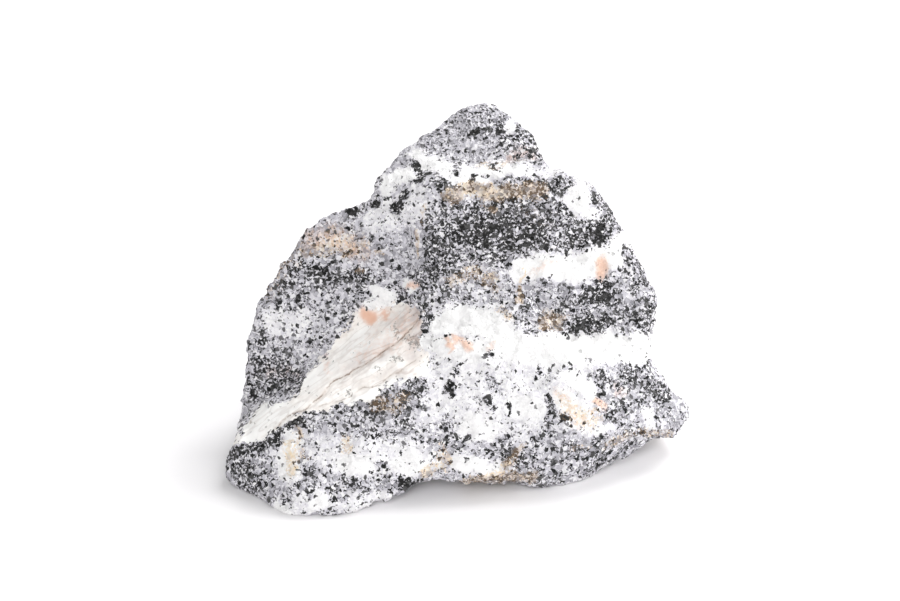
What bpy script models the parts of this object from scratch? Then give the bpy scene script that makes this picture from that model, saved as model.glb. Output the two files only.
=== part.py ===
"""Rough hand specimen of speckled granodiorite with white quartz and feldspar veins.

The stone is one solid. It is laid out block by block in a slanted frame that follows its broad
face: "across" runs along the face to the right, "up" runs up the face, "back" runs into the stone.
Each block is the convex hull of its corners. The blocks are fused into one closed surface,
roughened, tilted to the attitude in which the stone rests, and cut flat underneath where it
stands. The finished origin is the centre of the bounding box at floor level. Units are metres;
the block corners are listed in millimetres.
"""

import math

import bmesh
import bpy
from mathutils import Matrix, Vector, noise

MM = 0.001

LEAN = math.radians(28.0)  # how far the broad face leans back from upright
FLOOR_LEVEL = -44.5 * MM  # floor height below the middle of the broad face, before the final shift
VOXEL = 0.9 * MM
TARGET_TRIANGLES = 8000

# Roughness of the broken surface: (feature size, height) in millimetres.
SWELLS = (17.0, 1.0)
CHIPS = (8.5, 0.55)
PITS = (4.5, 0.5)
EDGE_ALLOWANCE = 0.45  # added all over, to give back what fusing rounds off the edges

# The smooth slope is a slickened joint surface: much less rough than the broken faces around it.
# Three points of its plane, its reach to either side of the plane, and the roughness left on it.
SLOPE_PLANE = ((-26, -9, 10), (-53, -28, 14.5), (-27, -25.5, -7))
SLOPE_REACH = 1.6
SLOPE_ROUGHNESS = 0.25

# Block corners: (across, up, back) in millimetres from the middle of the broad face.
# On the floor, up = 0.53 back - 50.4.
BLOCKS = {
    # The wall left of centre: flat, set back, turned a little to the left.
    "upper left wall": (
        (4, 28, 9), (4, -14, 6), (-8, 26, 8), (-8, -14, 6), (-22, 28, 12), (-31, 23.5, 14),
        (-39, 18.5, 14), (-45, 10, 14), (-50, 2, 14), (-52, -2, 13), (-54, -16, 13),
        (-55, -27, 14), (-56, -35, 19),
        (-48, -30, 32), (-43, -5, 34), (-33, 12, 30), (-18, 20, 28), (-5, 20, 30), (-5, -26, 38),
    ),
    # The summit, leaning back behind its ledge.
    "summit": (
        (-21, 27, 11), (-20.5, 32, 13), (-13, 40.5, 15), (-4, 46.5, 17), (2, 50.5, 18),
        (8, 53, 18), (12, 52.5, 18), (19, 48.5, 18), (23.5, 44, 16), (25.5, 39, 14),
        (25, 36, 12), (24, 30, 11), (5, 36, 9.5), (-10, 24, 8), (-15, 30, 24), (0, 42, 27),
        (11, 46, 26), (21, 37, 25), (10, 20, 34), (-10, 20, 32),
    ),
    # The face right of centre, standing proud of the wall beside it.
    "upper right face": (
        (-4, 26, 2), (-1, 31, 2), (14, 31.5, 1.5), (25, 34, 5), (36, 32, 7),
        (42.5, 25, 9), (46, 14, 8), (53, 4.5, 10), (56, 0, 11), (54.5, -8, 10),
        (53, -14, 8), (50, -20, 7), (-4, 4, 1.5), (-4, -12, 1), (10, -20, 4), (-2, 5, 3),
        (-7, 22, 9), (-7, 4, 8), (-7, -12, 8),
        (20, 29, 26), (33, 25, 24), (42, 12, 28), (49, -4, 30), (46, -20, 38), (0, -20, 44),
        (0, 20, 34),
    ),
    # The stepped left edge of that face.
    "upper cheek": (
        (-9.5, 24.5, 3.5), (-9, 10, 4), (-2, 29, 1.5), (0, 9, 2), (-11.5, 23, 9), (-10.5, 8, 8),
        (-6, 27, 12), (-4, 8, 12),
    ),
    "lower cheek": (
        (-6, 12, 3), (-11, 4, 4.5), (-7.5, -12, 0.5), (4, 8, 2.5), (2, -12, 2), (-9, 10, 9),
        (-13, 2, 9), (-9.5, -12, 8), (0, -12, 12), (0, 10, 12),
    ),
    # White ledge between the summit and the face in front of it.
    "ledge": (
        (-14, 25, 7.5), (-9, 26, 4), (-11, 18, 7), (-2, 31.5, 2.5), (14, 32, 2), (26, 34.5, 5),
        (25, 37, 12), (5, 37, 11), (-10, 33, 10), (-10, 20, 20), (25, 20, 20), (20, 33, 24),
    ),
    # Proud lower middle with a sloping white top.
    "lower middle": (
        (-7, -9, 1), (-6, -14, -4), (6, -6, -1.5), (3, 0, 3.5), (17, 6, 4), (14, -8, -3.5),
        (28, -13, -3), (32, -24, -4.5), (31, -38, -4), (5, -46, -5), (-10, -45, -4),
        (-12, -26, -7), (-8, -45.4, 2), (6, -45.8, 4), (24, -48.6, 1.5), (0, -38, 20),
        (0, -33, 30), (38, -32, 32), (40, -10, 30), (20, 0, 25),
    ),
    # Lower left block, the nearest part, with a dark pointed left end.
    "lower left block": (
        (-56, -37, 1), (-48, -33.5, -3), (-40, -30, -6), (-27, -26, -7.5), (-13, -21.5, -7.5),
        (-4, -18.5, -5.5), (-59, -42, 5), (-58, -47, 3), (-52, -50.5, -2), (-47, -53, -5),
        (-43, -56.5, -9), (-38, -56.5, -10), (-27, -56, -9.5), (-20, -53, -7), (-13, -47.9, -4),
        (-38, -44, -9.5), (-20, -40, -9.5), (-2, -34, -6), (-4, -44.6, -4), (-6, -45.3, 3),
        (-50, -45, 8), (-45, -47, 7), (-24, -46.5, 8), (-50, -37, 22), (-12, -37.5, 20),
        (-10, -25, 25),
    ),
    # Smooth slope between the upper left wall and the lower left block.
    "smooth slope": (
        (-4, 3, 6.5), (-26, -9, 10), (-39, -17, 12), (-53, -28, 14.5), (-57, -33, 14),
        (-56.5, -37, 2), (-48, -33, -2.5), (-40, -30, -5.5), (-27, -25.5, -7), (-13, -21, -7),
        (-4, -18, -5), (-4, -10, 1), (-5, -20, 30), (-48, -32, 30),
    ),
    # Lower right: a broad facet above a long ridge, undercut below it.
    "lower right": (
        (14, -8, -3), (28, -13, -3), (53, -15, 8), (57.5, -23, 10), (60.5, -30, 11),
        (59, -33.5, 10), (51, -34, 5), (42, -35, 0), (31, -38.5, -4), (5, -46, -4.5),
        (32, -24, -4.5), (24, -49, 2), (33, -47.6, 4), (39, -45.9, 7), (45.5, -41.8, 12),
        (28, -44.8, 12), (41, -42.2, 14), (50, -38, 18), (52, -32, 28), (46, -22, 40), (20, -20, 40),
        (20, -38, 20),
    ),
    # Blunt toe at the far right.
    "toe": (
        (53, -20, 13), (59, -24.5, 14), (64, -28.5, 15.5), (62.5, -33, 16), (60.5, -36.5, 16),
        (54, -37.5, 18), (48, -36, 19), (56, -29, 30), (46, -22, 34), (47, -33, 30),
    ),
    # Solid middle that joins the blocks above the floor.
    "core": (
        (-40, -30, 8), (-40, -37.5, 20), (-20, -43, 10), (0, -43, 9), (30, -44, 9),
        (44, -34, 24), (-40, -30, 30), (0, -32, 32), (40, -30, 34), (-30, 0, 20), (30, 0, 20),
    ),
    # The hidden back: thick near the floor, thinner towards the summit.
    "heel": (
        (-45, -31, 32), (-38, -18, 42), (-14, -16, 51), (16, -14, 53), (37, -20, 47),
        (46, -30, 36), (-34, -26.5, 43), (-18, -25.5, 49), (14, -22.5, 54), (26, -24, 52),
        (38, -26, 44), (-30, -35, 26), (0, -36, 24), (38, -37, 22), (30, 0, 34), (-30, -2, 36),
    ),
    "upper back": (
        (-30, 6, 32), (-12, 14, 37), (8, 20, 38), (22, 18, 35), (40, 0, 36), (-37, -12, 38),
        (-6, -12, 48), (18, -8, 48), (30, -14, 47), (10, 38, 24), (18, 34, 24), (-12, 28, 22),
        (30, 24, 22), (-28, 14, 24), (0, 0, 10),
    ),
}


def clear_scene():
    for obj in list(bpy.data.objects):
        bpy.data.objects.remove(obj, do_unlink=True)


def add_block(target, corners):
    """Adds the convex hull of the corners to the target bmesh."""
    hull = bmesh.new()
    for across, up, back in corners:
        hull.verts.new(Vector((across, back, up)) * MM)
    made = bmesh.ops.convex_hull(hull, input=hull.verts)
    loose = [v for v in made["geom_interior"] if isinstance(v, bmesh.types.BMVert)]
    bmesh.ops.delete(hull, geom=loose, context="VERTS")
    bmesh.ops.recalc_face_normals(hull, faces=hull.faces)
    piece = bpy.data.meshes.new("block")
    hull.to_mesh(piece)
    hull.free()
    target.from_mesh(piece)
    bpy.data.meshes.remove(piece)


def evaluated_mesh(obj):
    graph = bpy.context.evaluated_depsgraph_get()
    return bpy.data.meshes.new_from_object(obj.evaluated_get(graph), depsgraph=graph)


def keep_outer_surface(mesh):
    """Drops the specks that fusing leaves inside, and keeps the one large surface."""
    shape = bmesh.new()
    shape.from_mesh(mesh)
    unseen = set(shape.verts)
    largest = set()
    while unseen:
        reached = {unseen.pop()}
        edge_of_reach = list(reached)
        while edge_of_reach:
            vertex = edge_of_reach.pop()
            for edge in vertex.link_edges:
                other = edge.other_vert(vertex)
                if other not in reached:
                    reached.add(other)
                    edge_of_reach.append(other)
        unseen -= reached
        if len(reached) > len(largest):
            largest = reached
    specks = [vertex for vertex in shape.verts if vertex not in largest]
    bmesh.ops.delete(shape, geom=specks, context="VERTS")
    shape.to_mesh(mesh)
    shape.free()


def remeshed(mesh):
    """The outline of a mesh that may cross itself, as one closed surface of small even faces."""
    obj = bpy.data.objects.new("crossing", mesh)
    bpy.context.scene.collection.objects.link(obj)
    remesh = obj.modifiers.new("Fuse", "REMESH")
    remesh.mode = "VOXEL"
    remesh.voxel_size = VOXEL
    fused = evaluated_mesh(obj)
    bpy.data.objects.remove(obj, do_unlink=True)
    keep_outer_surface(fused)
    return fused


def fused_blocks():
    """All blocks joined into one surface."""
    shape = bmesh.new()
    for corners in BLOCKS.values():
        add_block(shape, corners)
    mesh = bpy.data.meshes.new("blocks")
    shape.to_mesh(mesh)
    shape.free()
    return remeshed(mesh)


def chip_height(point, size, height):
    """Chips with flat floors: every cell of a cell pattern gets its own level and slope."""
    scaled = point / (size * MM)
    _, centres = noise.voronoi(scaled)
    centre = centres[0]
    level = noise.noise(centre * 3.1 + Vector((7.0, 1.0, 4.0)))
    slope = Vector([noise.noise(centre * 2.3 + Vector((2.0, 9.0, key))) for key in (5.0, 25.0, 45.0)])
    return height * MM * (level + 1.2 * slope.dot(scaled - centre))


def plane_of(corners):
    """A point and the unit normal of the plane through three (across, up, back) corners."""
    first, second, third = (Vector((x, back, up)) * MM for x, up, back in corners)
    return first, (second - first).cross(third - first).normalized()


def roughen(mesh):
    """Breaks up the flat block faces with swells, chips and pits."""
    swell_size, swell_height = SWELLS
    pit_size, pit_height = PITS
    on_slope, slope_normal = plane_of(SLOPE_PLANE)
    shape = bmesh.new()
    shape.from_mesh(mesh)
    shape.normal_update()
    moved = []
    for vertex in shape.verts:
        point = vertex.co
        rise = EDGE_ALLOWANCE * MM
        rise += swell_height * MM * noise.noise(point / (swell_size * MM) + Vector((3.0, 5.0, 8.0)))
        rise += chip_height(point, *CHIPS)
        rise += pit_height * MM * noise.noise(point / (pit_size * MM) + Vector((1.0, 6.0, 2.0)))
        off_slope = abs((point - on_slope).dot(slope_normal)) / (SLOPE_REACH * MM)
        facing = abs(vertex.normal.dot(slope_normal))
        if off_slope < 1.0 and facing > 0.9:
            rise = EDGE_ALLOWANCE * MM + SLOPE_ROUGHNESS * (rise - EDGE_ALLOWANCE * MM)
        moved.append(point + vertex.normal * rise)
    for vertex, place in zip(shape.verts, moved):
        vertex.co = place
    shape.to_mesh(mesh)
    shape.free()


def thinned(mesh):
    """The same surface with faces only as small as its shape needs."""
    obj = bpy.data.objects.new("thin", mesh)
    bpy.context.scene.collection.objects.link(obj)
    decimate = obj.modifiers.new("Thin", "DECIMATE")
    decimate.use_collapse_triangulate = True
    decimate.ratio = TARGET_TRIANGLES / (2 * len(mesh.polygons))
    result = evaluated_mesh(obj)
    bpy.data.objects.remove(obj, do_unlink=True)
    return result


def centre_on_floor(mesh):
    """Moves the part of the stone that is above the floor to stand on the origin."""
    above = [v.co for v in mesh.vertices if v.co.z > FLOOR_LEVEL]
    middle_x = (min(p.x for p in above) + max(p.x for p in above)) / 2
    middle_y = (min(p.y for p in above) + max(p.y for p in above)) / 2
    shift = Vector((-middle_x, -middle_y, -FLOOR_LEVEL))
    mesh.transform(Matrix.Translation(shift))
    print("face middle now at", [round(value * 1000, 2) for value in shift])


def stone_material():
    material = bpy.data.materials.new("speckled granodiorite")
    material.use_nodes = True
    surface = material.node_tree.nodes["Principled BSDF"]
    surface.inputs["Base Color"].default_value = (0.46, 0.45, 0.46, 1.0)
    surface.inputs["Roughness"].default_value = 0.8
    surface.inputs["Metallic"].default_value = 0.0
    return material


def floor_cutter():
    """Everything below the floor, as a hidden box."""
    box = bmesh.new()
    bmesh.ops.create_cube(box, size=0.4)
    bmesh.ops.translate(box, verts=box.verts, vec=Vector((0.0, 0.0, -0.2)))
    mesh = bpy.data.meshes.new("floor cutter")
    box.to_mesh(mesh)
    box.free()
    obj = bpy.data.objects.new("floor_cutter", mesh)
    bpy.context.scene.collection.objects.link(obj)
    obj.hide_render = True
    obj.display_type = "WIRE"
    return obj


def main():
    clear_scene()
    mesh = fused_blocks()
    roughen(mesh)
    mesh = thinned(remeshed(mesh))
    # Lean the broad face back, then stand the stone on the origin.
    mesh.transform(Matrix.Rotation(-LEAN, 4, "X"))
    centre_on_floor(mesh)
    mesh.name = "rock"
    mesh.materials.clear()
    mesh.materials.append(stone_material())
    rock = bpy.data.objects.new("rock", mesh)
    bpy.context.scene.collection.objects.link(rock)
    foot = rock.modifiers.new("Flat foot", "BOOLEAN")
    foot.operation = "DIFFERENCE"
    foot.solver = "EXACT"
    foot.object = floor_cutter()


main()
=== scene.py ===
"""Looks of the rough rock: speckled granodiorite with white veins, on a white studio floor.

The stone keeps the shape of its CAD solid and gains the relief that is too fine for it. Where each
mineral lies is given by zones, which are placed in the stone's own face frame: "across" runs
to the right along the broad face, "up" runs up the face and "back" runs into the stone, all in
millimetres from the middle of the face. Zones go on through the stone, so its back shows them too.
"""

import math

import bmesh
import bpy
import numpy as np
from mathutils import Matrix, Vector


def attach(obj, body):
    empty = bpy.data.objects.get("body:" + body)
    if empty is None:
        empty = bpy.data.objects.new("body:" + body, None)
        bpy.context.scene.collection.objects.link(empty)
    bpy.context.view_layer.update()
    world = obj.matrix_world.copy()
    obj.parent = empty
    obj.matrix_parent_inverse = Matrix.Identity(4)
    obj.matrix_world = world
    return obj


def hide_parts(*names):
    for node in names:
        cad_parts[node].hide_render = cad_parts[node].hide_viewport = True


MM = 0.001

# The face frame, as in part.py: the broad face leans back, and its middle is here in the world.
LEAN = math.radians(28.0)
FACE_MIDDLE = np.array((-2.4, -4.95, 44.5))
ACROSS = np.array((1.0, 0.0, 0.0))
UP = np.array((0.0, math.sin(LEAN), math.cos(LEAN)))
BACK = np.array((0.0, math.cos(LEAN), -math.sin(LEAN)))

FINE_VOXEL = 0.61 * MM

# Relief of the broken surface: (cell size, height) in millimetres, from coarse chips to single grains.
# It fades out between two heights above the floor, so that the stone still stands flat.
CHIP_SIZES = ((5.0, 0.42), (2.6, 0.26), (1.35, 0.17))
DIMPLES = (0.8, 0.10)
GROUND_FADE = (0.2, 1.2)

# The bake map: rounds of smoothing of the normals that sort faces by side, the fewest faces in a
# patch, the rounds in which large patches may grow over small ones, the empty border round each
# patch in millimetres, and how many widths of the map are tried.
NORMAL_SMOOTHING = 40
SMALL_PATCH = 600
GROWING_ROUNDS = 200
PATCH_MARGIN = 0.8
MAP_WIDTHS = 60

# Every zone ends over ZONE_FADE millimetres past its depth reach, and drifts only further back than
# FRONT_DEPTH. Softness is how gradual an outline is, as a share of the half width.
THROUGH = 200.0  # depth reach of a zone that goes right through the stone
ZONE_FADE = 10.0
FRONT_DEPTH = 10.0
MIX_SOFTNESS = 0.42
STAIN_SOFTNESS = 0.8

# Seeds of the random patterns.
MIX_SEED = 200
RUST_SEED = 500
PINK_SEED = 600
SLOPE_HIGHLIGHT_SEED = 700
GRIME_SEED = 800
SPECKS_SEED = 900
DIMPLES_SEED = 7

# How outlines are made ragged: (size, reach) of the wandering in millimetres and its seed, or what is
# added to the seed of the zones.
ZONE_WANDER = ((6.0, 1.3, 0), (2.2, 0.9, 11), (1.0, 0.5, 23))
SLOPE_WANDER = ((5.0, 1.2, 95), (1.6, 0.7, 91))
CRACK_WANDER = ((2.5, 0.5, 71),)

# The slick joint surface between the upper left wall and the lower left block: its outline as
# (across, up), the three points (across, up, back) of its plane, and how rough it still is.
SLOPE_OUTLINE = (
    (-8, -2.5), (-14, -1.5), (-23.5, -2), (-26, -7.5), (-30, -12), (-34, -17), (-38.5, -22), (-43, -26.5),
    (-49.5, -27.8), (-53, -31), (-58, -38), (-49, -35), (-42, -31), (-36, -28.8), (-27, -27), (-20, -25),
    (-16.5, -21.5), (-9, -20), (-6, -17), (-8, -11),
)
SLOPE_PLANE = ((-26, -9, 10), (-53, -28, 14.5), (-27, -25.5, -7))
SLOPE_ROUGHNESS = 0.35
# Where the slope ends: millimetres inside its outline, how squarely the surface faces as the plane
# does, and millimetres back.
SLOPE_EDGE = (-1.3, 1.1)
SLOPE_FACING = (0.1, 0.5)
SLOPE_BACK = (16.0, 19.0)
# Streaks of the slope: the way they run as (across, up), how far they are drawn out, and the
# (weight, size in millimetres, seed) of the noise in them.
STREAK_WAY = (0.82, 0.57)
STREAK_LENGTH = 5.0
STREAK_NOISES = ((0.6, 1.6, 31), (0.4, 0.7, 32))
# Cracks on the slope: depth and half width, then points (across, up). FULL_CRACK is the depth from
# which a crack shows at full strength, and CRACK_REACH is how far its distance is stored.
FULL_CRACK = 0.5
CRACK_REACH = 3.0
SLOPE_CRACKS = (
    (0.55, 0.55, ((-8.4, -5), (-13, -10.4), (-17, -13), (-22.2, -16.6), (-26.1, -18.9), (-30.7, -21.4),
                  (-33.9, -25.2), (-37.2, -27.8), (-41.8, -30.2), (-45, -32.6))),
    (0.30, 0.50, ((-9, -15.5), (-14, -19), (-19, -21.8), (-24, -23.2))),
    (0.30, 0.40, ((-25, -24.2), (-29, -26), (-34, -27.4))),
    (0.25, 0.30, ((-16, -16.2), (-12, -15.2))),
    (0.30, 0.40, ((-53.8, -22.5), (-52, -27), (-52.8, -32.5))),
)

# Painted highlight where the slope is whiter, most at its left end, which faces up-left; and where it is
# brown with grime: strength, depth reach, drift, points.
SLOPE_HIGHLIGHTS = (
    (0.90, THROUGH, 0.0, ((-43, -28, 3), (-48, -30.5, 4.5), (-53, -33, 4))),
    (0.60, THROUGH, 0.0, ((-32, -17, 2.6), (-37, -22, 3))),
    (0.50, THROUGH, 0.0, ((-20, -23, 1.6), (-30, -27, 1.8))),
    (0.60, THROUGH, 0.0, ((-22, -8, 2.6), (-26, -13, 3))),
)
SLOPE_GRIMES = (
    (0.80, THROUGH, 0.0, ((-8.6, -3, 2.0), (-8.6, -9, 2.6), (-10.5, -13, 2.2))),
    (0.40, THROUGH, 0.0, ((-12, -5, 2.6), (-14, -10, 2.8), (-20, -14, 2.2), (-27, -19, 1.8))),
    (0.35, THROUGH, 0.0, ((-12, -17.5, 1.6), (-18, -21, 1.4))),
)
# Where dark specks lie thick on the slope.
SLOPE_SPECKS = (
    (0.95, THROUGH, 0.0, ((-14.4, -7.4, 0.8), (-14.2, -8.8, 0.8))),
    (0.60, THROUGH, 0.0, ((-10.6, -9.4, 0.8), (-9.6, -12, 1.2))),
    (0.80, THROUGH, 0.0, ((-14.4, -15.3, 0.5), (-12.4, -15.6, 0.5))),
    (0.90, THROUGH, 0.0, ((-19.8, -18, 0.5), (-18.8, -18.2, 0.6))),
    (0.80, THROUGH, 0.0, ((-26.8, -24.6, 0.6), (-25.2, -24.2, 0.6))),
)

CAMERA_DISTANCE = 0.555
CAMERA_LENS = 85.0

# Light: strength of the light from all round, what the soft lamps point at, and the lamps as (name,
# place, size, power).
AMBIENT = 0.38
LAMP_TARGET = (0.0, 0.0, 0.03)
LAMPS = (
    ("overhead", (0.60, 0.85, 1.35), 1.0, 22.0),
    ("front_fill", (-0.2, -1.4, 1.0), 1.2, 16.5),
    ("right_fill", (1.3, 0.1, 0.55), 0.9, 14.0),
)

FLOOR_HALF = 3.0
FLOOR_COLOUR = (0.88, 0.87, 0.88, 1.0)
FLOOR_ROUGHNESS = 0.6

# Sizes in the stone's material, in millimetres: grains, how ragged they are, and clumps of them.
COARSE_GRAIN = 0.9
FINE_GRAIN = 0.44
GRAIN_RAGGEDNESS = 1.3
CLUMP_SIZE = 2.4
CLUMPING = 4.0  # how strongly dark grains keep to the clumps

# Tones of the stone, each from one end of its scale to the other.
LIGHT_TONES = (
    (0.0, (0.94, 0.935, 0.93)),
    (0.18, (0.90, 0.89, 0.895)),
    (0.35, (0.81, 0.795, 0.825)),
    (0.55, (0.64, 0.625, 0.675)),
    (0.75, (0.45, 0.44, 0.48)),
    (1.0, (0.27, 0.265, 0.29)),
)
DARK_TONES = (
    (0.0, (0.003, 0.003, 0.003)),
    (0.25, (0.007, 0.007, 0.007)),
    (0.50, (0.026, 0.026, 0.026)),
    (0.75, (0.085, 0.084, 0.084)),
    (1.0, (0.22, 0.215, 0.225)),
)
STAIN_TONES = (
    (0.0, (0.94, 0.74, 0.46)),
    (0.35, (0.90, 0.76, 0.60)),
    (0.7, (0.94, 0.85, 0.68)),
    (1.0, (0.82, 0.70, 0.60)),
)
CREAM_TONES = (
    (0.28, (0.62, 0.54, 0.49)),
    (0.40, (0.84, 0.79, 0.75)),
    (0.50, (0.92, 0.89, 0.86)),
    (0.60, (0.95, 0.935, 0.91)),
    (0.78, (0.93, 0.925, 0.90)),
)
BROWNED_DARK = (0.20, 0.135, 0.085, 1.0)
PINK_FELDSPAR = (0.80, 0.52, 0.39, 1.0)
# Painted highlight: the white laid over the slope where it faces up-left.
SLOPE_HIGHLIGHT_COLOUR = (0.95, 0.945, 0.93, 1.0)
SLOPE_PINK = (0.75, 0.47, 0.35, 1.0)
GRIME_BROWN = (0.36, 0.29, 0.28, 1.0)
HAIRLINE_BROWN = (0.38, 0.30, 0.26, 1.0)
SPECK_BLACK = (0.12, 0.12, 0.11, 1.0)
CRACK_EDGE_BROWN = (0.45, 0.36, 0.30, 1.0)
CRACK_BROWN = (0.22, 0.16, 0.125, 1.0)

# Mixes of minerals: share of dark grains, whiteness of the light grains, share of grey quartz among
# them, and share of fine grains.
MIXES = {
    "vein": (0.003, 1.0, 0.0, 0.3),
    "milky": (0.03, 0.9, 0.1, 0.4),
    "pale": (0.10, 0.55, 0.32, 0.5),
    "lilac": (0.17, 0.1, 0.8, 0.5),
    "common": (0.27, 0.1, 0.45, 0.5),
    "streaky": (0.24, 0.0, 0.7, 0.85),
    "dusky": (0.38, 0.0, 0.5, 0.5),
    "dark": (0.58, 0.0, 0.5, 0.7),
    "sooty": (0.74, 0.0, 0.5, 0.75),
    "black": (0.90, 0.0, 0.3, 0.4),
}
BASE_MIX = "common"

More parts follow.
